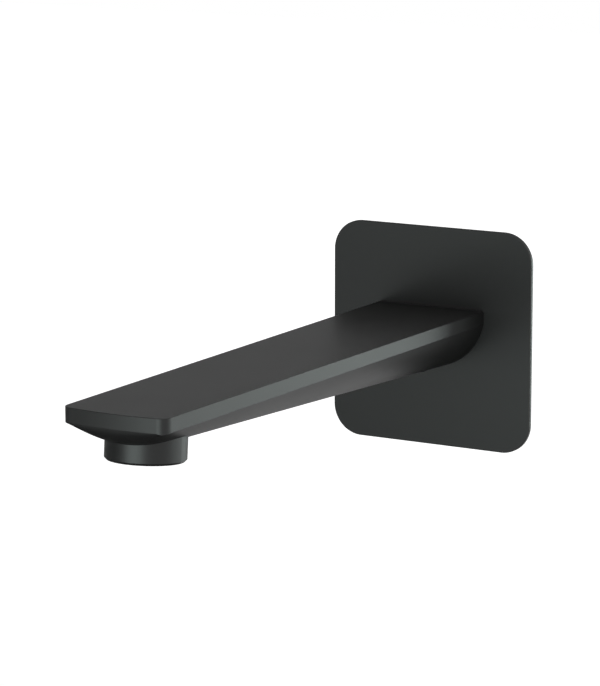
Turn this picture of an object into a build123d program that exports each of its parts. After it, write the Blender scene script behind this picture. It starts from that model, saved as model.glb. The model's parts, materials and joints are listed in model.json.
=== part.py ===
"""Bath spout for a wall, with a square cover plate. All sizes in millimetres.

The wall is the plane y = 0 and the supply comes through it along the Y axis. The spout reaches out
along -Y and +Z is up. A reach is a distance out from the face of the cover plate.
"""

import os
from math import asin, cos, hypot, pi, radians, sin, sqrt

from build123d import *

os.makedirs("parts", exist_ok=True)

# Cover plate and the gasket between it and the wall
plate_size = 84.0
plate_thickness = 1.5
plate_corner_radius = 11.7
plate_edge_radius = 0.3
gasket_thickness = 1.0
gasket_inset = 3.0

# Deck of the spout, seen from above
spout_length = 219.7
root_width = 44.7
front_width = 39.9
front_radius = 117.0
corner_radius = 3.9
deck_height = 11.45
deck_edge_radius = 0.2

# Band round the deck, and the belly below it
band_height = 5.0
root_depth = 18.0
front_depth = 8.1
bow_lead = 0.3
bow_exponent = 3.55
bow_tolerance = 0.002
seam_tolerance = 0.01

# Outlet under the tip
outlet_setback = 20.5
outlet_drop = 7.8
outlet_tilt = 4.7
outlet_radius = 13.65
outlet_chamfer = 0.8
seat_radius = 9.6
seat_thickness = 2.0

# Waterway cast into the spout
wall = 3.0
cavity_corner_radius = 1.5
tip_room = 0.4
bore_end_room = 4.0
bore_chamfer = 0.6

# Turned connector between the wall and the spout
thread_radius = 10.4775
thread_length = 15.0
thread_chamfer = 1.2
shoulder_gap = 0.2
spigot_radius = 7.5
spigot_reach = 34.0
spigot_chamfer = 0.8
spigot_clearance = 0.1
key_size = 8.0

# Sealing rings, each squeezed flat between the two walls that it seals
ring_cord = 1.5
ring_groove_depth = 1.2
ring_groove_room = 0.5
ring_clearance = 0.02
ring_corner = 0.35
front_ring_setback = 6.0
ring_spacing = 8.0
root_ring_radius = 9.5
root_groove_depth = 1.15

# Socket screw that locks the spout to the connector
screw_radius = 2.5
screw_reach = 8.0
screw_proud = 0.9
screw_chamfer = 0.4
screw_clearance = 0.05
screw_socket_size = 2.5
screw_socket_depth = 2.2
lock_groove_depth = 1.5
lock_groove_room = 0.3

# Aerator screwed into the outlet
aerator_radius = 12.0
aerator_clearance = 0.1
aerator_recess = 0.5
housing_wall = 1.4
housing_lip = 0.9
housing_lip_height = 0.8
housing_chamfer = 0.4
notch_count = 4
notch_width = 3.0
notch_depth = 0.5
honeycomb_height = 3.0
cell_size = 2.0
cell_wall = 0.35
insert_clearance = 0.05
jet_skirt_height = 1.6
jet_skirt_wall = 0.9
jet_disc_thickness = 1.0
jet_hole_radius = 0.6
jet_inner_radius = 3.2
jet_inner_count = 6
jet_outer_radius = 6.8
jet_outer_count = 12
screen_thickness = 0.8
screen_rim = 1.6
screen_pitch = 1.9
screen_bar = 0.5
washer_thickness = 1.0

# Values worked out from the sizes above
stand_off = gasket_thickness + plate_thickness
band_bottom = deck_height - band_height
bore_radius = spigot_radius + spigot_clearance
bore_depth = spigot_reach + bore_end_room
plate_hole_radius = bore_radius + spigot_clearance
root_plane = Plane.XZ.offset(stand_off)


def out(reach):
    """Y of a point at a reach from the plate's face."""
    return -(stand_off + reach)


# Tilted axis of the outlet, from the middle of its rim up into the spout
outlet_reach = spout_length - outlet_setback
outlet_axis = Vector(0, sin(radians(outlet_tilt)), cos(radians(outlet_tilt)))
outlet_plane = Plane(origin=(0, out(outlet_reach), -outlet_drop), x_dir=(1, 0, 0), z_dir=outlet_axis)
honeycomb_base = aerator_recess + housing_lip_height
jet_base = honeycomb_base + honeycomb_height
screen_base = jet_base + jet_skirt_height + jet_disc_thickness
housing_top = screen_base + screen_thickness
seat_base = housing_top + washer_thickness
seat_top = seat_base + seat_thickness
cavity_end_reach = outlet_reach + seat_radius + tip_room

# The bow begins just behind the outlet's boss, which leans back as it rises
boss_lean = seat_top * sin(radians(outlet_tilt))
bow_reach = outlet_reach - outlet_radius - boss_lean - tip_room
bow_length = spout_length - bow_reach


def front_reach(x):
    """Reach of the front's shallow arc at a distance x from the middle."""
    return spout_length - front_radius + sqrt(front_radius**2 - x**2)


corner_reach = front_reach(front_width / 2)


def half_width(reach):
    """Half the deck's width: a straight taper from the root to the front corners."""
    return (root_width + (front_width - root_width) * reach / corner_reach) / 2


def keel_depth(reach):
    """Depth of the straight keel below the band, before the bow lifts it."""
    return root_depth + (front_depth - root_depth) * reach / spout_length


def section_radius(reach):
    """Radius of the belly's arc: half_width to each side and keel_depth deep."""
    return (half_width(reach) ** 2 + keel_depth(reach) ** 2) / (2 * keel_depth(reach))


def bow_curve(distance):
    """Quarter of a rounded square, from 0 at the front to 1 where the straight keel begins."""
    left = max(1 - distance / bow_length, 0)
    return (1 - left**bow_exponent) ** (1 / bow_exponent)


def bow_share(distance):
    """Share of the keel's depth at a distance behind the front edge, negative ahead of it."""
    if distance < 0:
        return -bow_share(-distance)
    start = bow_curve(bow_lead)
    return (bow_curve(distance + bow_lead) - start) / (1 - start)


def bow_point(turn, distance):
    """Point of the bow's skin at a share of the belly's half arc and a distance behind the front."""
    reach = spout_length - distance
    share = bow_share(distance)
    x = section_radius(reach) * sin(turn * asin(half_width(reach) / section_radius(reach)))
    reach -= (spout_length - front_reach(x)) * (1 - share)
    radius = section_radius(reach)
    depth = sqrt(radius**2 - x**2) - radius + keel_depth(reach)
    return Vector(x, out(reach), band_bottom - depth * share)


# Bow: a skin that lifts the belly's arcs to the front edge, run on a little past the deck's outline
overrun = 1.03
bow_steps = 14
turn_steps = 12
steps_ahead = 2
bow_stations = [bow_length * step * abs(step) / bow_steps**2 for step in range(-steps_ahead, bow_steps + 1)]
turns = [overrun * step / turn_steps for step in range(-turn_steps, turn_steps + 1)]
bow_skin = Face.make_surface_from_array_of_points(
    [[bow_point(turn, station) for turn in turns] for station in bow_stations], tol=bow_tolerance
)
body_height = deck_height + root_depth


def spout_section(reach):
    """Outline of the spout: flat deck, straight band and the belly's arc below."""
    side = half_width(reach)
    with BuildSketch(Plane.XZ.offset(stand_off + reach)) as section:
        with BuildLine():
            Polyline((-side, band_bottom), (-side, deck_height), (side, deck_height), (side, band_bottom))
            keel = band_bottom - keel_depth(reach)
            ThreePointArc((side, band_bottom), (0, keel), (-side, band_bottom))
        make_face()
    return section.sketch


def cavity_section(reach):
    """Outline of the cored waterway: the spout's own section, one wall thickness smaller."""
    side = half_width(reach) - wall
    top = deck_height - wall
    with BuildSketch(Plane.XZ.offset(stand_off + reach)) as section:
        with BuildLine():
            Polyline((-side, band_bottom), (-side, top), (side, top), (side, band_bottom))
            floor = band_bottom - keel_depth(reach) + wall
            ThreePointArc((side, band_bottom), (0, floor), (-side, band_bottom))
        make_face()
        fillet(section.vertices().group_by(Axis.Y)[-1], cavity_corner_radius)
    return section.sketch


def spaced(start, end):
    """Reaches of the sections between two ends, near enough for a ruled skin to follow the arcs."""
    return [start + (end - start) * step / section_steps for step in range(section_steps + 1)]


section_steps = 5
screw_end = screw_reach + 2 * screw_radius
with BuildSketch(Plane.XY.offset(deck_height)) as deck:
    with BuildLine():
        root_right = (root_width / 2, out(0))
        front_right = (front_width / 2, out(corner_reach))
        front_left = (-front_width / 2, out(corner_reach))
        root_left = (-root_width / 2, out(0))
        Polyline(front_left, root_left, root_right, front_right)
        ThreePointArc(front_right, (0, out(spout_length)), front_left)
    make_face()
    fillet(deck.vertices().group_by(Axis.Y)[0], corner_radius)

with BuildPart() as bow:
    extrude(deck.sketch, amount=-body_height)
    extrude(bow_skin, amount=2 * body_height, dir=(0, 0, 1), mode=Mode.INTERSECT)

with BuildPart() as straight:
    reaches = [0, *spaced(screw_end, bow_reach)]
    loft([spout_section(reach) for reach in reaches], ruled=True)

# Boss of the outlet, tall enough to stand inside the waterway as the aerator's seat
with BuildPart() as outlet_boss:
    with BuildSketch(outlet_plane):
        Circle(outlet_radius)
    extrude(amount=seat_top)
    chamfer(outlet_boss.edges().filter_by(GeomType.CIRCLE).sort_by(Axis.Z)[0], outlet_chamfer)

with BuildPart() as spout_body:
    # Straight run of the spout and the bow at its tip
    add(straight.part.fuse(bow.part, tol=seam_tolerance))
    fillet(spout_body.faces().sort_by(Axis.Z)[-1].edges().sort_by(Axis.Y)[:-1], deck_edge_radius)
    # Cored waterway
    reaches = [*spaced(bore_depth, bow_reach), cavity_end_reach]
    loft([cavity_section(reach) for reach in reaches], ruled=True, mode=Mode.SUBTRACT)
    # Outlet and the seat of the aerator
    add(outlet_boss.part)
    with BuildSketch(outlet_plane):
        Circle(aerator_radius)
    extrude(amount=seat_base, mode=Mode.SUBTRACT)
    with BuildSketch(outlet_plane):
        Circle(seat_radius)
    extrude(amount=seat_top, mode=Mode.SUBTRACT)
    # Bore for the connector, with a lead-in for its rings
    with BuildSketch(root_plane):
        Circle(bore_radius)
    extrude(amount=bore_depth, mode=Mode.SUBTRACT)
    with BuildSketch(root_plane):
        Circle(bore_radius + bore_chamfer)
    extrude(amount=bore_chamfer, taper=45, mode=Mode.SUBTRACT)
    # Groove for the ring that seals against the cover plate
    root_ring_width = ring_cord + ring_groove_room
    with BuildSketch(root_plane):
        Circle(root_ring_radius + root_ring_width / 2)
        Circle(root_ring_radius - root_ring_width / 2, mode=Mode.SUBTRACT)
    extrude(amount=root_groove_depth, mode=Mode.SUBTRACT)
    # Tapped hole for the screw, through the belly into the bore
    with BuildSketch(Plane.XY):
        with Locations((0, out(screw_reach))):
            Circle(screw_radius)
    extrude(amount=-body_height, mode=Mode.SUBTRACT)
spout_body.part.label = "spout_body"
export_step(spout_body.part, "parts/spout_body.step")

with BuildPart() as cover_plate:
    with BuildSketch(Plane.XZ.offset(gasket_thickness)):
        RectangleRounded(plate_size, plate_size, plate_corner_radius)
        Circle(plate_hole_radius, mode=Mode.SUBTRACT)
    extrude(amount=plate_thickness)
    face_edges = cover_plate.faces().sort_by(Axis.Y)[0].outer_wire().edges()
    fillet(face_edges, plate_edge_radius)
cover_plate.part.label = "cover_plate"
export_step(cover_plate.part, "parts/cover_plate.step")

gasket_hole_radius = thread_radius + gasket_thickness
with BuildPart() as wall_gasket:
    with BuildSketch(Plane.XZ):
        gasket_size = plate_size - 2 * gasket_inset
        RectangleRounded(gasket_size, gasket_size, plate_corner_radius - gasket_inset)
        Circle(gasket_hole_radius, mode=Mode.SUBTRACT)
    extrude(amount=gasket_thickness)
wall_gasket.part.label = "wall_gasket"
export_step(wall_gasket.part, "parts/wall_gasket.step")

ring_floor = spigot_radius - ring_groove_depth
front_ring_reach = spigot_reach - front_ring_setback
rear_ring_reach = front_ring_reach - ring_spacing
lock_floor = spigot_radius - lock_groove_depth
lock_half = screw_radius + lock_groove_room
ring_groove_half = (ring_cord + ring_groove_room) / 2
with BuildPart() as wall_connector:
    # Half outline, turned about the supply axis
    with BuildSketch(Plane.XY):
        with BuildLine():
            Polyline(
                (0, thread_length),
                (thread_radius - thread_chamfer, thread_length),
                (thread_radius, thread_length - thread_chamfer),
                (thread_radius, shoulder_gap - gasket_thickness),
                (spigot_radius, shoulder_gap - gasket_thickness),
                (spigot_radius, out(spigot_reach - spigot_chamfer)),
                (spigot_radius - spigot_chamfer, out(spigot_reach)),
                (0, out(spigot_reach)),
                close=True,
            )
        make_face()
        # Grooves for the two rings and for the point of the screw
        for reach in (front_ring_reach, rear_ring_reach):
            with Locations((spigot_radius, out(reach))):
                Rectangle(2 * ring_groove_depth, 2 * ring_groove_half, mode=Mode.SUBTRACT)
        with Locations((spigot_radius, out(screw_reach))):
            Rectangle(2 * lock_groove_depth, 2 * lock_half, mode=Mode.SUBTRACT)
    revolve(axis=Axis.Y)
    # Waterway, six-sided so that a key can turn the connector
    with BuildSketch(Plane.XZ.offset(-thread_length)):
        RegularPolygon(key_size / 2, 6, major_radius=False)
    extrude(amount=thread_length + stand_off + spigot_reach, mode=Mode.SUBTRACT)
wall_connector.part.label = "wall_connector"
export_step(wall_connector.part, "parts/wall_connector.step")


def ring_section(height, center, rotation=0):
    """Round cord once it is pressed to a height: flat on two sides, with the cord's own area."""
    width = (pi * ring_cord**2 / 4 + 2 * ring_corner**2) / height
    with Locations(center):
        pressed = Rectangle(width, height, rotation=rotation)
    chamfer(pressed.vertices(), ring_corner)


ring_height = bore_radius - ring_floor - 2 * ring_clearance
for name, reach in (("front", front_ring_reach), ("rear", rear_ring_reach)):
    with BuildPart() as connector_ring:
        with BuildSketch(Plane.XY):
            ring_section(ring_height, ((bore_radius + ring_floor) / 2, out(reach)), rotation=90)
        revolve(axis=Axis.Y)
    connector_ring.part.label = f"connector_o_ring_{name}"
    export_step(connector_ring.part, f"parts/connector_o_ring_{name}.step")

root_ring_height = root_groove_depth - 2 * ring_clearance
with BuildPart() as root_seal:
    with BuildSketch(Plane.XY):
        ring_section(root_ring_height, (root_ring_radius, out(root_groove_depth / 2)))
    revolve(axis=Axis.Y)
root_seal.part.label = "root_seal"
export_step(root_seal.part, "parts/root_seal.step")

# Screw from the floor of the lock groove to just below the keel
screw_top = -(lock_floor + screw_clearance)
screw_bottom = band_bottom - keel_depth(screw_reach) - screw_proud
with BuildPart() as grub_screw:
    with BuildSketch(Plane((0, out(screw_reach), screw_bottom))):
        Circle(screw_radius - screw_clearance)
    extrude(amount=screw_top - screw_bottom)
    chamfer(grub_screw.edges().filter_by(GeomType.CIRCLE), screw_chamfer)
    with BuildSketch(Plane((0, out(screw_reach), screw_bottom))):
        RegularPolygon(screw_socket_size / 2, 6, major_radius=False)
    extrude(amount=screw_socket_depth, mode=Mode.SUBTRACT)
grub_screw.part.label = "grub_screw"
export_step(grub_screw.part, "parts/grub_screw.step")

# Aerator, piece by piece from the mouth up to its seat
housing_radius = aerator_radius - aerator_clearance
insert_bore = housing_radius - housing_wall
insert_radius = insert_bore - insert_clearance
with BuildPart() as aerator_housing:
    with BuildSketch(outlet_plane.offset(aerator_recess)):
        Circle(housing_radius)
        Circle(insert_bore - housing_lip, mode=Mode.SUBTRACT)
    extrude(amount=housing_top - aerator_recess)
    with BuildSketch(outlet_plane.offset(honeycomb_base)):
        Circle(insert_bore)
    extrude(amount=housing_top - honeycomb_base, mode=Mode.SUBTRACT)
    lowest = aerator_housing.faces().filter_by(GeomType.PLANE).sort_by(Axis.Z)[0]
    chamfer(lowest.outer_wire().edges(), housing_chamfer)
    # Notches for the key that screws the aerator home
    with BuildSketch(outlet_plane.offset(aerator_recess)):
        with PolarLocations(housing_radius, notch_count):
            Rectangle(2 * (housing_wall + 2 * housing_lip), notch_width)
    extrude(amount=notch_depth, mode=Mode.SUBTRACT)
aerator_housing.part.label = "aerator_housing"
export_step(aerator_housing.part, "parts/aerator_housing.step")

# Six-sided cells, every one that fits whole inside the rim
cell_pitch = cell_size + cell_wall
cell_reach = insert_bore - housing_lip - cell_size / sqrt(3)
cell_rows = int(cell_reach / cell_pitch) + 1
cells = []
for row in range(-cell_rows, cell_rows + 1):
    for column in range(-2 * cell_rows, 2 * cell_rows + 1):
        cell = (cell_pitch * (column + row / 2), cell_pitch * row * sqrt(3) / 2)
        if hypot(*cell) <= cell_reach:
            cells.append(cell)
with BuildPart() as aerator_honeycomb:
    with BuildSketch(outlet_plane.offset(honeycomb_base)):
        Circle(insert_radius)
        with Locations(*cells):
            RegularPolygon(cell_size / 2, 6, major_radius=False, rotation=30, mode=Mode.SUBTRACT)
    extrude(amount=honeycomb_height)
aerator_honeycomb.part.label = "aerator_honeycomb"
export_step(aerator_honeycomb.part, "parts/aerator_honeycomb.step")

with BuildPart() as aerator_jet_disc:
    with BuildSketch(outlet_plane.offset(jet_base)):
        Circle(insert_radius)
        Circle(insert_radius - jet_skirt_wall, mode=Mode.SUBTRACT)
    extrude(amount=jet_skirt_height)
    with BuildSketch(outlet_plane.offset(jet_base + jet_skirt_height)):
        Circle(insert_radius)
        with PolarLocations(jet_inner_radius, jet_inner_count):
            Circle(jet_hole_radius, mode=Mode.SUBTRACT)
        with PolarLocations(jet_outer_radius, jet_outer_count):
            Circle(jet_hole_radius, mode=Mode.SUBTRACT)
    extrude(amount=jet_disc_thickness)
aerator_jet_disc.part.label = "aerator_jet_disc"
export_step(aerator_jet_disc.part, "parts/aerator_jet_disc.step")

# Square mesh inside a plain rim
mesh_hole = screen_pitch - screen_bar
mesh_reach = insert_radius - screen_rim - mesh_hole / sqrt(2)
mesh_count = int(mesh_reach / screen_pitch)
mesh = []
for row in range(-mesh_count, mesh_count + 1):
    for column in range(-mesh_count, mesh_count + 1):
        if hypot(row, column) * screen_pitch <= mesh_reach:
            mesh.append((column * screen_pitch, row * screen_pitch))
with BuildPart() as aerator_screen:
    with BuildSketch(outlet_plane.offset(screen_base)):
        Circle(insert_radius)
        with Locations(*mesh):
            Rectangle(mesh_hole, mesh_hole, mode=Mode.SUBTRACT)
    extrude(amount=screen_thickness)
aerator_screen.part.label = "aerator_screen"
export_step(aerator_screen.part, "parts/aerator_screen.step")

with BuildPart() as aerator_seal:
    with BuildSketch(outlet_plane.offset(housing_top)):
        Circle(housing_radius)
        Circle(seat_radius, mode=Mode.SUBTRACT)
    extrude(amount=washer_thickness)
aerator_seal.part.label = "aerator_seal"
export_step(aerator_seal.part, "parts/aerator_seal.step")
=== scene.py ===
# %% [markdown]
# # A satin black bath spout
#
# This lesson dresses a wall-mounted bath spout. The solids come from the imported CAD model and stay
# exactly where they are. Blender adds the finishes, the screw threads, the light and the camera.

# %% Load the solids
import json
from math import cos, hypot, pi, radians, sin, sqrt

import bmesh
import bpy
from mathutils import Matrix, Vector


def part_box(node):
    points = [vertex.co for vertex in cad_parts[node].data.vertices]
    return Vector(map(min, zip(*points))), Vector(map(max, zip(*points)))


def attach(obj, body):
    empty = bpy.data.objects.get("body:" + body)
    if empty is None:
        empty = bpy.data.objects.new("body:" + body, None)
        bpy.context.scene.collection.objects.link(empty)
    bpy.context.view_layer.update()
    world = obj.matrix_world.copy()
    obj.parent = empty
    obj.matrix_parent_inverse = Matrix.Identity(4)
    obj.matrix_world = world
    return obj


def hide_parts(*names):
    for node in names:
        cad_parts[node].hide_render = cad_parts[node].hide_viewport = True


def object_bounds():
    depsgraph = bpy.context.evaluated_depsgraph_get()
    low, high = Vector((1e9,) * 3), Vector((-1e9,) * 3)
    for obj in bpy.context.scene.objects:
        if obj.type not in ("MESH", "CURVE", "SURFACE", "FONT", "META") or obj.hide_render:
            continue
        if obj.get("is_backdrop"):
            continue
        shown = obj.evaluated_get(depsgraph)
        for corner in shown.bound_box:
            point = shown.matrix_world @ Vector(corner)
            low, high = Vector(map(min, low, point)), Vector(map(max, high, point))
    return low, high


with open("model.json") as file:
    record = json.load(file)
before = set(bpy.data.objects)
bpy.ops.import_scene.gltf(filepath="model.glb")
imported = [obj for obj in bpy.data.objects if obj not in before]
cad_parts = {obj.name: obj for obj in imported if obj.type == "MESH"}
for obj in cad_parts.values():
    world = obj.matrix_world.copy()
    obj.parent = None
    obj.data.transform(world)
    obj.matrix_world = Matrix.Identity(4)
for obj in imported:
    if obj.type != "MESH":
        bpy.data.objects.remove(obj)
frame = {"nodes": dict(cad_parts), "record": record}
solid_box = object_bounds()
nodes = frame["nodes"]
scene = bpy.context.scene
MM = 0.001
print("solids:", ", ".join(sorted(nodes)))

# %% [markdown]
# ## Camera
#
# The photo looks at the spout from its front right corner, a little from above, through a long lens
# that keeps the plate's edges almost parallel. A constraint could aim the camera, but three unit
# vectors written into its matrix are easier to check: to the right, up, and back towards the eye. The
# lamps and cards below are aimed by the same function.

# %% Camera
CAMERA_AZIMUTH = 30.116
CAMERA_ELEVATION = 11.075
CAMERA_PLACE = Vector((541.251, -1034.502, 225.155)) * MM
SENSOR = 36.0
LENS = 163.95


def direction(azimuth, elevation):
    """Unit vector from the spout; azimuth 0 is straight out of the wall and 90 is to the right."""
    azimuth = radians(azimuth)
    elevation = radians(elevation)
    return Vector((sin(azimuth) * cos(elevation), -cos(azimuth) * cos(elevation), sin(elevation)))


def facing(place, azimuth, elevation):
    """Matrix of something at a place that looks back along a direction."""
    away = direction(azimuth, elevation)
    side = direction(azimuth + 90, 0)
    axes = Matrix((side, away.cross(side), away)).transposed()
    return Matrix.Translation(place) @ axes.to_4x4()


camera = bpy.data.objects.new("camera", bpy.data.cameras.new("camera"))
scene.collection.objects.link(camera)
camera.data.sensor_width = SENSOR
camera.data.lens = LENS
camera.matrix_world = facing(CAMERA_PLACE, CAMERA_AZIMUTH, CAMERA_ELEVATION)
scene.camera = camera
scene.view_settings.view_transform = "Standard"
print("camera to origin:", round(CAMERA_PLACE.length, 3), "m")

# %% [markdown]
# ## Writing shaders as sums
#
# A node tree is easier to read as arithmetic. A `Wire` holds one output of a tree. Adding or
# multiplying wires adds Math nodes, and `node` makes any other node: its settings first, then its
# sockets.


# %% Shader arithmetic
class Wire:
    """One output of a shader tree, which can be added to and multiplied by numbers and other wires."""

    def __init__(self, tree, socket=None):
        self.tree = tree
        self.socket = socket

    def node(self, kind, inputs=(), output=0, **settings):
        """A new node of this tree: its settings first, then the values or wires of its sockets."""
        made = self.tree.nodes.new(kind)
        for name, value in settings.items():
            setattr(made, name, value)
        for name, value in dict(inputs).items():
            if isinstance(value, Wire):
                self.tree.links.new(value.socket, made.inputs[name])
            else:
                made.inputs[name].default_value = value
        return Wire(self.tree, made.outputs[output] if made.outputs else None)

    def math(self, operation, first, second):
        """A Math node on two values or wires."""
        return self.node("ShaderNodeMath", {0: first, 1: second}, operation=operation)

    def __add__(self, other):
        return self.math("ADD", self, other)

    def __mul__(self, other):
        return self.math("MULTIPLY", self, other)

    __radd__ = __add__
    __rmul__ = __mul__

    def feed(self, target, name):
        """Links this wire to a socket of a node."""
        self.tree.links.new(self.socket, target.inputs[name])


def camera_ray(wire):
    """1 for the rays that come from the camera."""
    return wire.node("ShaderNodeLightPath", output="Is Camera Ray")


def mirror_ray(wire):
    """1 for the rays that look for a reflection or pass through something clear."""
    glossy = wire.node("ShaderNodeLightPath", output="Is Glossy Ray")
    return glossy + wire.node("ShaderNodeLightPath", output="Is Transmission Ray")


print("shader arithmetic ready")

# %% [markdown]
# ## A white room
#
# The photo is cut out on pure white. The background is white only for the rays that show it, straight
# or in a reflection. Everything else is lit by a dimmer grey.

# %% World
WHITE = (1, 1, 1, 1)
FILL = 0.62

scene.world = bpy.data.worlds.new("white_room")
scene.world.use_nodes = True
scene.world.node_tree.nodes.clear()
room = Wire(scene.world.node_tree)
background = room.node("ShaderNodeBackground", {"Color": WHITE, "Strength": 1.0})
fill = room.node("ShaderNodeBackground", {"Color": WHITE, "Strength": FILL})
seen = camera_ray(room) + mirror_ray(room)
shown = room.node("ShaderNodeMixShader", {0: seen, 1: fill, 2: background})
room.node("ShaderNodeOutputWorld", {"Surface": shown})
print("world fill:", FILL)

# %% [markdown]
# ## Floor
#
# A bath spout hangs on its wall, well above anything below it. The pale floor lies as far down, where
# the spout's soft shadow stays out of the photo's frame. To the camera it is paper with a glow on top,
# enough to be white where little shades it, and a reflection sees it white. It is clear from below, so
# that the underside can be seen.

# %% Floor
FLOOR_DROP = 0.30
FLOOR_HALF = 4.0
PALE = (0.8, 0.8, 0.8, 1)
LIFT = 0.73


def sheet_mesh(name, half_width, half_height, matrix):
    """A flat rectangle, made where it stands."""
    shape = bmesh.new()
    bmesh.ops.create_grid(shape, x_segments=1, y_segments=1, size=1.0)
    bmesh.ops.scale(shape, vec=(half_width, half_height, 1), verts=shape.verts)
    bmesh.ops.transform(shape, matrix=matrix, verts=shape.verts)
    mesh = bpy.data.meshes.new(name)
    shape.to_mesh(mesh)
    shape.free()
    made = bpy.data.objects.new(name, mesh)
    scene.collection.objects.link(made)
    return made


def bare_material(name):
    """A material with an empty tree, and a wire to write it with."""
    material = bpy.data.materials.new(name)
    material.use_nodes = True
    material.node_tree.nodes.clear()
    return material, Wire(material.node_tree)


pale_floor, wire = bare_material("pale_floor")
paper = wire.node("ShaderNodeBsdfDiffuse", {"Color": PALE})
lift = wire.node("ShaderNodeEmission", {"Color": WHITE, "Strength": LIFT})
glow = wire.node("ShaderNodeEmission", {"Color": WHITE, "Strength": 1.0})
lifted = wire.node("ShaderNodeAddShader", {0: paper, 1: lift})
reflected = wire.node("ShaderNodeMixShader", {0: mirror_ray(wire), 1: paper, 2: glow})
above = wire.node("ShaderNodeMixShader", {0: camera_ray(wire), 1: reflected, 2: lifted})
clear = wire.node("ShaderNodeBsdfTransparent")
below = wire.node("ShaderNodeNewGeometry", output="Backfacing")
both = wire.node("ShaderNodeMixShader", {0: below, 1: above, 2: clear})
wire.node("ShaderNodeOutputMaterial", {"Surface": both})

floor = sheet_mesh("floor", FLOOR_HALF, FLOOR_HALF, Matrix.Translation((0, 0, -FLOOR_DROP)))
floor.data.materials.append(pale_floor)
floor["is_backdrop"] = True
print("floor at z =", -FLOOR_DROP)

# %% [markdown]
# ## Light for a black object
#
# A black satin surface shows hardly any light of its own: what the eye reads is the reflection of the
# studio. A photographer therefore puts long soft lamps where the spout should gleam: one across the
# front, one to the right and one behind on the right. They are a little greener than the room, and the
# upright faces, which reflect them, show it. The camera doesn't see the lamps.

# %% Lamps
AIM = Vector((0, -100, 0)) * MM
LAMP_TINT = (0.86, 1.0, 0.96)
LAMPS = {
    "front_lamp": {"towards": (1.0, -4.9), "distance": 1.41, "size": (1.04, 0.31), "power": 9.0},
    "side_lamp": {"towards": (116.0, -5.3), "distance": 1.53, "size": (0.82, 0.30), "power": 2.6},
    "rear_lamp": {"towards": (159.0, -4.4), "distance": 2.00, "size": (1.20, 0.28), "power": 10.5},
}


def aimed(azimuth, elevation, distance):
    """Matrix of something that looks at the middle of the spout from a distance."""
    return facing(AIM + direction(azimuth, elevation) * distance, azimuth, elevation)


for name, lamp in LAMPS.items():
    light = bpy.data.lights.new(name, "AREA")
    light.shape = "RECTANGLE"
    light.size, light.size_y = lamp["size"]
    light.energy = lamp["power"]
    light.color = LAMP_TINT
    made = bpy.data.objects.new(name, light)
    scene.collection.objects.link(made)
    made.matrix_world = aimed(*lamp["towards"], lamp["distance"])
    made.visible_camera = False
print("lamps:", ", ".join(LAMPS))

# %% [markdown]
# ## Cards
#
# What the lamps add, cards take away. A grey one stands on the left, where the end of the front band
# and the side of the outlet reflect it. One behind on the left greys the deck and the belly, and a
# darker one lies under the tip. They are plain matt sheets, staged like the floor and unseen by the
# camera. Their paper is a little warm, so that the deck stays neutral although the lamps are not.

# %% Cards
CARD_TINT = Vector((1.05, 1.0, 1.01))
UNDER_TIP = Matrix.Translation((-0.12, -0.16, -0.24))
CARDS = {
    "left_card": {"matrix": aimed(-82.5, 12.0, 0.80), "size": (1.97, 2.40), "grey": 0.22},
    "back_card": {"matrix": aimed(-143.1, 4.2, 0.45), "size": (1.02, 1.06), "grey": 0.51},
    "under_card": {"matrix": UNDER_TIP, "size": (0.66, 0.55), "grey": 0.13},
}

for name, card in CARDS.items():
    matt, wire = bare_material(name + "_matt")
    paper = wire.node("ShaderNodeBsdfDiffuse", {"Color": (*(CARD_TINT * card["grey"]), 1)})
    wire.node("ShaderNodeOutputMaterial", {"Surface": paper})
    width, height = card["size"]
    made = sheet_mesh(name, width / 2, height / 2, card["matrix"])
    made.data.materials.append(matt)
    made.visible_camera = False
    made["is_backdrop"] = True
print("cards:", ", ".join(CARDS))

# %% [markdown]
# ## Satin black coating
#
# The casting and the plate wear the same sprayed coating: nearly black, with a soft gleam. One flat
# black would look like a hole in the picture. A slow noise moves the grey and the gloss a little, as a
# sprayed film does, and a very fine grain in the bump softens the reflections.

# %% Satin black coating
MIX_FACTOR, MIX_DARK, MIX_LIGHT, MIX_COLOR = 0, 6, 7, 2


def new_finish(name, **constants):
    """A Principled material with its constants set, its shader, and a wire to its object coordinates."""
    material = bpy.data.materials.new(name)
    material.use_nodes = True
    surface = material.node_tree.nodes["Principled BSDF"]
    for socket, value in constants.items():
        surface.inputs[socket.replace("_", " ")].default_value = value
    place = Wire(material.node_tree).node("ShaderNodeTexCoord", output="Object")
    return material, surface, place


def noise(place, size, detail=2.0):
    """Soft random grey from 0 to 1, with features of a size in metres."""
    inputs = {"Vector": place, "Scale": 1 / size, "Detail": detail}
    return place.node("ShaderNodeTexNoise", inputs, output="Fac")


def tint(grey, dark, light):
    """A colour between two, by a grey. The Mix node's sockets share names, so they go by number."""
    inputs = {MIX_FACTOR: grey, MIX_DARK: (*dark, 1), MIX_LIGHT: (*light, 1)}
    return grey.node("ShaderNodeMix", inputs, output=MIX_COLOR, data_type="RGBA")


def bump(height, depth):
    """Normal of a surface that rises by a depth in metres where the height is 1."""
    return height.node("ShaderNodeBump", {"Height": height, "Distance": depth}, output="Normal")


COAT_DARK = (0.0075, 0.0075, 0.0075)
COAT_LIGHT = (0.0110, 0.0110, 0.0110)
COAT_SPECULAR = 0.35
COAT_ROUGHNESS = 0.385
FILM_SIZE = 30 * MM
FILM_ROUGHNESS = 0.04
GRAIN_SIZE = 0.35 * MM
GRAIN_ROUGHNESS = 0.03
GRAIN_HEIGHT = 0.005 * MM

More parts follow.
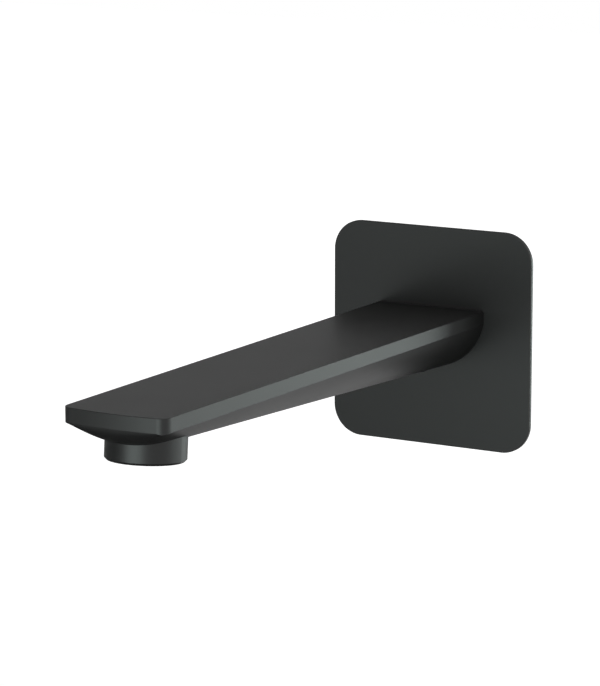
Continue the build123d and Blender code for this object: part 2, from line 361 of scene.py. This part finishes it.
satin_black, surface, place = new_finish("satin_black", Specular_IOR_Level=COAT_SPECULAR)
film = noise(place, FILM_SIZE)
grain = noise(place, GRAIN_SIZE)
tint(film, COAT_DARK, COAT_LIGHT).feed(surface, "Base Color")
(COAT_ROUGHNESS + FILM_ROUGHNESS * film + GRAIN_ROUGHNESS * grain).feed(surface, "Roughness")
bump(grain, GRAIN_HEIGHT).feed(surface, "Normal")
print("satin black ready")

# %% [markdown]
# ## Turned brass
#
# The connector is turned from a brass bar, and the tool leaves fine rings round its axis. Noise in one
# dimension, along the axis, makes such rings: their heights go to the bump, and a slower noise lets the
# metal tarnish in patches.

# %% Turned brass
BRASS_DARK = (0.42, 0.30, 0.14)
BRASS_LIGHT = (0.66, 0.50, 0.25)
BRASS_ROUGHNESS = 0.28
RING_WIDTH = 0.12 * MM
RING_SHARE = 0.3
RING_ROUGHNESS = 0.08
RING_HEIGHT = 0.012 * MM
TARNISH_SIZE = 4 * MM
TARNISH_SHARE = 0.7
TARNISH_ROUGHNESS = 0.20

turned_brass, surface, place = new_finish("turned_brass_finish", Metallic=1.0)
along = place.node("ShaderNodeSeparateXYZ", {0: place}, output="Y")
lines = {"W": along, "Scale": 1 / RING_WIDTH, "Detail": 3.0}
rings = place.node("ShaderNodeTexNoise", lines, output="Fac", noise_dimensions="1D")
tarnish = noise(place, TARNISH_SIZE, detail=4.0)
tone = tarnish * TARNISH_SHARE + rings * RING_SHARE
tint(tone, BRASS_DARK, BRASS_LIGHT).feed(surface, "Base Color")
(BRASS_ROUGHNESS + TARNISH_ROUGHNESS * tarnish + RING_ROUGHNESS * rings).feed(surface, "Roughness")
bump(rings, RING_HEIGHT).feed(surface, "Normal")
print("turned brass ready")

# %% [markdown]
# ## Blackened steel
#
# The grub screw is hardened and dipped in hot black oxide. The layer is thin, so it is still a metal
# shader: dark, with cloudy patches where the oil has dried.

# %% Blackened steel
STEEL_DARK = (0.055, 0.055, 0.060)
STEEL_LIGHT = (0.135, 0.135, 0.145)
STEEL_ROUGHNESS = 0.30
CLOUD_SIZE = 1.2 * MM
CLOUD_ROUGHNESS = 0.22
SCALE_SIZE = 0.12 * MM
SCALE_HEIGHT = 0.004 * MM

blackened_steel, surface, place = new_finish("blackened_steel", Metallic=1.0)
clouds = noise(place, CLOUD_SIZE, detail=5.0)
scale = noise(place, SCALE_SIZE)
tint(clouds, STEEL_DARK, STEEL_LIGHT).feed(surface, "Base Color")
(STEEL_ROUGHNESS + CLOUD_ROUGHNESS * clouds).feed(surface, "Roughness")
bump(scale, SCALE_HEIGHT).feed(surface, "Normal")
print("blackened steel ready")

# %% [markdown]
# ## Rubber
#
# The sealing rings are moulded rubber with a dull, dusty bloom. A flat dark grey would do for pieces
# that hide inside, but a reusable part may be taken apart, so the bloom is a slow noise and the pores a
# fine one.

# %% Rubber
RUBBER_DARK = (0.014, 0.014, 0.014)
RUBBER_LIGHT = (0.030, 0.030, 0.031)
RUBBER_SPECULAR = 0.4
RUBBER_ROUGHNESS = 0.55
BLOOM_SIZE = 3 * MM
BLOOM_ROUGHNESS = 0.22
PORE_SIZE = 0.2 * MM
PORE_HEIGHT = 0.008 * MM

seal_rubber, surface, place = new_finish("moulded_rubber", Specular_IOR_Level=RUBBER_SPECULAR)
bloom = noise(place, BLOOM_SIZE, detail=4.0)
pores = noise(place, PORE_SIZE)
tint(bloom, RUBBER_DARK, RUBBER_LIGHT).feed(surface, "Base Color")
(RUBBER_ROUGHNESS + BLOOM_ROUGHNESS * bloom).feed(surface, "Roughness")
bump(pores, PORE_HEIGHT).feed(surface, "Normal")
print("rubber ready")

# %% [markdown]
# ## Foam
#
# The gasket is cut from a sheet of closed-cell foam. Noise has no cells, so a Voronoi pattern makes
# them, with thin raised walls in the bump and painted shade in the colour that darkens the low floor
# of each; a slow noise gives the sheet its uneven tone.

# %% Foam
FOAM_DARK = (0.075, 0.075, 0.080)
FOAM_LIGHT = (0.24, 0.24, 0.25)
FOAM_SPECULAR = 0.25
FOAM_ROUGHNESS = 0.80
CELL_SIZE = 0.7 * MM
# Share of the colour that is painted shade on the cell floors.
CELL_SHADE_SHARE = 0.75
CELL_ROUGHNESS = 0.15
CELL_HEIGHT = 0.10 * MM
SHEET_SIZE = 12 * MM
SHEET_SHARE = 0.25

gasket_foam, surface, place = new_finish("closed_cell_foam", Specular_IOR_Level=FOAM_SPECULAR)
pattern = {"Vector": place, "Scale": 1 / CELL_SIZE}
cells = place.node("ShaderNodeTexVoronoi", pattern, output="Distance")
sheet = noise(place, SHEET_SIZE, detail=3.0)
# The cells' share of the tone is painted shade: the colour is darker where the bump sinks to a cell's
# floor. The sheet's share is random tone.
tone = cells * CELL_SHADE_SHARE + sheet * SHEET_SHARE
tint(tone, FOAM_DARK, FOAM_LIGHT).feed(surface, "Base Color")
(FOAM_ROUGHNESS + CELL_ROUGHNESS * cells).feed(surface, "Roughness")
bump(cells, CELL_HEIGHT).feed(surface, "Normal")
print("foam ready")

# %% [markdown]
# ## Moulded plastic
#
# The aerator's pieces are injection moulded. The tool's eroded surface leaves a fine texture, and the
# melt cools with slight changes of tone. One function makes the black of the cup and the two pale greys
# of the pieces inside it.

# %% Moulded plastic
PLASTIC_IOR = 1.49
MELT_SIZE = 6 * MM
MELT_ROUGHNESS = 0.10
ERODED_SIZE = 0.18 * MM
ERODED_ROUGHNESS = 0.08
ERODED_HEIGHT = 0.006 * MM
PLASTICS = {
    "cup_black": {"dark": (0.016, 0.016, 0.016), "light": (0.028, 0.028, 0.028), "roughness": 0.34},
    "strainer_grey": {"dark": (0.47, 0.48, 0.49), "light": (0.58, 0.59, 0.60), "roughness": 0.36},
    "cell_grey": {"dark": (0.54, 0.55, 0.56), "light": (0.66, 0.67, 0.68), "roughness": 0.32},
}


def moulded_plastic(name, dark, light, roughness):
    """A moulded plastic between two tones, with a least roughness."""
    material, surface, place = new_finish(name, IOR=PLASTIC_IOR)
    melt = noise(place, MELT_SIZE, detail=3.0)
    eroded = noise(place, ERODED_SIZE)
    tint(melt, dark, light).feed(surface, "Base Color")
    (roughness + MELT_ROUGHNESS * melt + ERODED_ROUGHNESS * eroded).feed(surface, "Roughness")
    bump(eroded, ERODED_HEIGHT).feed(surface, "Normal")
    return material


plastics = {name: moulded_plastic(name, **look) for name, look in PLASTICS.items()}
print("plastics:", ", ".join(plastics))

# %% [markdown]
# ## Finishes on the solids
#
# Every solid names a material slot in the record. The slot decides which finish it wears.

# %% Finishes on the solids
FINISHES = {
    "black_coating": satin_black,
    "turned_brass": turned_brass,
    "screw_steel": blackened_steel,
    "seal_rubber": seal_rubber,
    "gasket_foam": gasket_foam,
    "aerator_black": plastics["cup_black"],
    "screen_plastic": plastics["strainer_grey"],
    "honeycomb_plastic": plastics["cell_grey"],
}
slot_of = {piece["node"]: piece["material_slot"] for piece in frame["record"]["subparts"]}
for name, slot in slot_of.items():
    nodes[name].material_slots[0].material = FINISHES[slot]
print("dressed solids:", len(slot_of))

# %% [markdown]
# ## Screw threads
#
# A thread is one tooth, carried round the axis and along it at the same time. The spin operator does
# both: its angle turns the tooth's outline and its dvec lifts it a little at each step. Neighbouring
# turns meet along the root and are merged, two planes cut off the spare turns at the ends, and a cone
# takes the sharp crests off there, as a chamfering tool does. The tooth is listed as shares of the pitch
# and of the depth, up to its crest, and the other flank mirrors it.

# %% Screw threads
TOOTH = [(0, 0), (0.08, 0.04), (0.15, 0.15), (0.35, 0.85), (0.42, 0.96), (0.5, 1)]
TOOTH += [(1 - along, rise) for along, rise in reversed(TOOTH[:-1])]
THREAD_STEPS = 48
SPARE_TURNS = 3
SHARP_ANGLE = radians(32)
HAIR = 1e-7


def outline_edges(shape, points):
    """An open outline in the plane of radius and height: its vertices and edges."""
    corners = [shape.verts.new((radius, height, 0)) for radius, height in points]
    return corners + [shape.edges.new(pair) for pair in zip(corners, corners[1:])]


def thread_skin(low, high, crest, depth, pitch, lead_low, lead_high):
    """Skin of a thread along Y between two heights, chamfered by a lead at each end."""
    shape = bmesh.new()
    turns = int((high - low) / pitch) + SPARE_TURNS
    tooth = [(crest - depth * (1 - rise), low + pitch * (along - 1)) for along, rise in TOOTH]
    bmesh.ops.spin(
        shape,
        geom=outline_edges(shape, tooth),
        axis=(0, 1, 0),
        dvec=(0, pitch / THREAD_STEPS, 0),
        angle=2 * pi * turns,
        steps=THREAD_STEPS * turns,
    )
    bmesh.ops.remove_doubles(shape, verts=shape.verts, dist=HAIR)
    for end, outward in ((low, -1), (high, 1)):
        whole = [*shape.verts, *shape.edges, *shape.faces]
        cut = {"plane_co": (0, end, 0), "plane_no": (0, outward, 0), "clear_outer": True}
        bmesh.ops.bisect_plane(shape, geom=whole, dist=HAIR, **cut)
    for corner in shape.verts:
        radius = hypot(corner.co.x, corner.co.z)
        cone = crest - max(0, low + lead_low - corner.co.y, corner.co.y - high + lead_high)
        shrink = min(1, cone / radius)
        corner.co = (corner.co.x * shrink, corner.co.y, corner.co.z * shrink)
    return shape


def hexagon(shape, across_flats, height):
    """Six edges of a hexagon round the Y axis."""
    upright = Matrix.Rotation(-pi / 2, 4, "X") @ Matrix.Rotation(pi / 2, 4, "Z")
    place = Matrix.Translation((0, height, 0)) @ upright
    ring = bmesh.ops.create_circle(shape, segments=6, radius=across_flats / sqrt(3), matrix=place)
    return list({edge for corner in ring["verts"] for edge in corner.link_edges})


def close_end(shape, height):
    """Fills the flat between the open loops at a height."""
    loops = [
        edge
        for edge in shape.edges
        if len(edge.link_faces) < 2 and all(abs(end.co.y - height) < HAIR for end in edge.verts)
    ]
    bmesh.ops.triangle_fill(shape, use_beauty=True, edges=loops)


def threaded_piece(shape, name, node):
    """Turns a shape into a piece that stands for a solid and wears its finish."""
    bmesh.ops.remove_doubles(shape, verts=shape.verts, dist=HAIR)
    bmesh.ops.recalc_face_normals(shape, faces=shape.faces)
    loose = sum(len(edge.link_faces) != 2 for edge in shape.edges)
    mesh = bpy.data.meshes.new(name)
    shape.to_mesh(mesh)
    shape.free()
    mesh.shade_smooth()
    mesh.set_sharp_from_angle(angle=SHARP_ANGLE)
    mesh.materials.append(FINISHES[slot_of[node]])
    made = bpy.data.objects.new(name, mesh)
    scene.collection.objects.link(made)
    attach(made, "root")
    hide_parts(node)
    print(name, "faces:", len(mesh.polygons), "open edges:", loose)


print("tooth points:", len(TOOTH))

# %% [markdown]
# ## Wall connector
#
# The connector screws into the supply in the wall with a half-inch pipe thread, and the spout slips
# over its spigot. A turner leaves a collar and a relief behind the thread, and cuts two grooves for the
# sealing rings and a wide one for the screw's point. Each groove is listed by its middle, its half
# width and the radius of its floor. The spigot is an outline spun round the axis once. The waterway is
# a hexagon, so that a key can turn the connector in.

# %% Wall connector
PIPE_CREST = 10.4775 * MM
PIPE_DEPTH = 1.162 * MM
PIPE_PITCH = 1.814 * MM
PIPE_END = 15.0 * MM
PIPE_LEAD = 1.2 * MM
RELIEF_TOP = 1.8 * MM
RELIEF_BELOW_ROOT = 0.1 * MM
RELIEF_RADIUS = PIPE_CREST - PIPE_DEPTH - RELIEF_BELOW_ROOT
COLLAR_TOP = 0.4 * MM
COLLAR_SLOPE = 0.5 * MM
SHOULDER = -0.8 * MM
SPIGOT_RADIUS = 7.5 * MM
SPIGOT_END = -36.5 * MM
SPIGOT_LEAD = 0.8 * MM
SPIGOT_STEPS = 64
WATERWAY = 8.0 * MM
GROOVES = [
    (-10.5 * MM, 2.8 * MM, 6.0 * MM),
    (-22.5 * MM, 1.0 * MM, 6.3 * MM),
    (-30.5 * MM, 1.0 * MM, 6.3 * MM),
]

spigot = [(RELIEF_RADIUS, RELIEF_TOP), (RELIEF_RADIUS, COLLAR_TOP + COLLAR_SLOPE)]
spigot += [(PIPE_CREST, COLLAR_TOP), (PIPE_CREST, SHOULDER), (SPIGOT_RADIUS, SHOULDER)]
for middle, half, floor_radius in GROOVES:
    spigot += [(SPIGOT_RADIUS, middle + half), (floor_radius, middle + half)]
    spigot += [(floor_radius, middle - half), (SPIGOT_RADIUS, middle - half)]
spigot += [(SPIGOT_RADIUS, SPIGOT_END + SPIGOT_LEAD), (SPIGOT_RADIUS - SPIGOT_LEAD, SPIGOT_END)]

connector = thread_skin(RELIEF_TOP, PIPE_END, PIPE_CREST, PIPE_DEPTH, PIPE_PITCH, PIPE_DEPTH, PIPE_LEAD)
turning = {"axis": (0, 1, 0), "angle": 2 * pi, "steps": SPIGOT_STEPS, "use_merge": True}
bmesh.ops.spin(connector, geom=outline_edges(connector, spigot), **turning)
mouths = hexagon(connector, WATERWAY, PIPE_END) + hexagon(connector, WATERWAY, SPIGOT_END)
bmesh.ops.bridge_loops(connector, edges=mouths)
for height in (PIPE_END, RELIEF_TOP, SPIGOT_END):
    close_end(connector, height)
threaded_piece(connector, "threaded_connector", "wall_connector")

# %% [markdown]
# ## Grub screw
#
# A headless screw under the root clamps the spout to the connector. It is threaded over its whole
# length, with a hexagon socket in the end that shows below. It is made along Y, like the connector, and
# then turned upright and set under the root.

# %% Grub screw
SCREW_CREST = 2.45 * MM
SCREW_DEPTH = 0.45 * MM
SCREW_PITCH = 0.8 * MM
SCREW_LEAD = 0.20 * MM
SCREW_AXIS = -10.5 * MM
SOCKET = 2.5 * MM
SOCKET_DEPTH = 2.2 * MM

screw_low, screw_high = (corner[2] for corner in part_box("grub_screw"))
leads = (SCREW_LEAD, SCREW_LEAD)
screw = thread_skin(screw_low, screw_high, SCREW_CREST, SCREW_DEPTH, SCREW_PITCH, *leads)
walls = hexagon(screw, SOCKET, screw_low) + hexagon(screw, SOCKET, screw_low + SOCKET_DEPTH)
bmesh.ops.bridge_loops(screw, edges=walls)
for height in (screw_low, screw_low + SOCKET_DEPTH, screw_high):
    close_end(screw, height)
upright = Matrix.Translation((0, SCREW_AXIS, 0)) @ Matrix.Rotation(pi / 2, 4, "X")
bmesh.ops.transform(screw, matrix=upright, verts=screw.verts)
threaded_piece(screw, "threaded_grub_screw", "grub_screw")

# %% [markdown]
#
# Nothing added here may make the spout bigger. The solids' box and the dressed model's box are written
# side by side, so that they can be compared after each render.

sizes = {"solids": solid_box, "dressed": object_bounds()}
sizes = {name: [list(corner) for corner in box] for name, box in sizes.items()}
print(sizes)
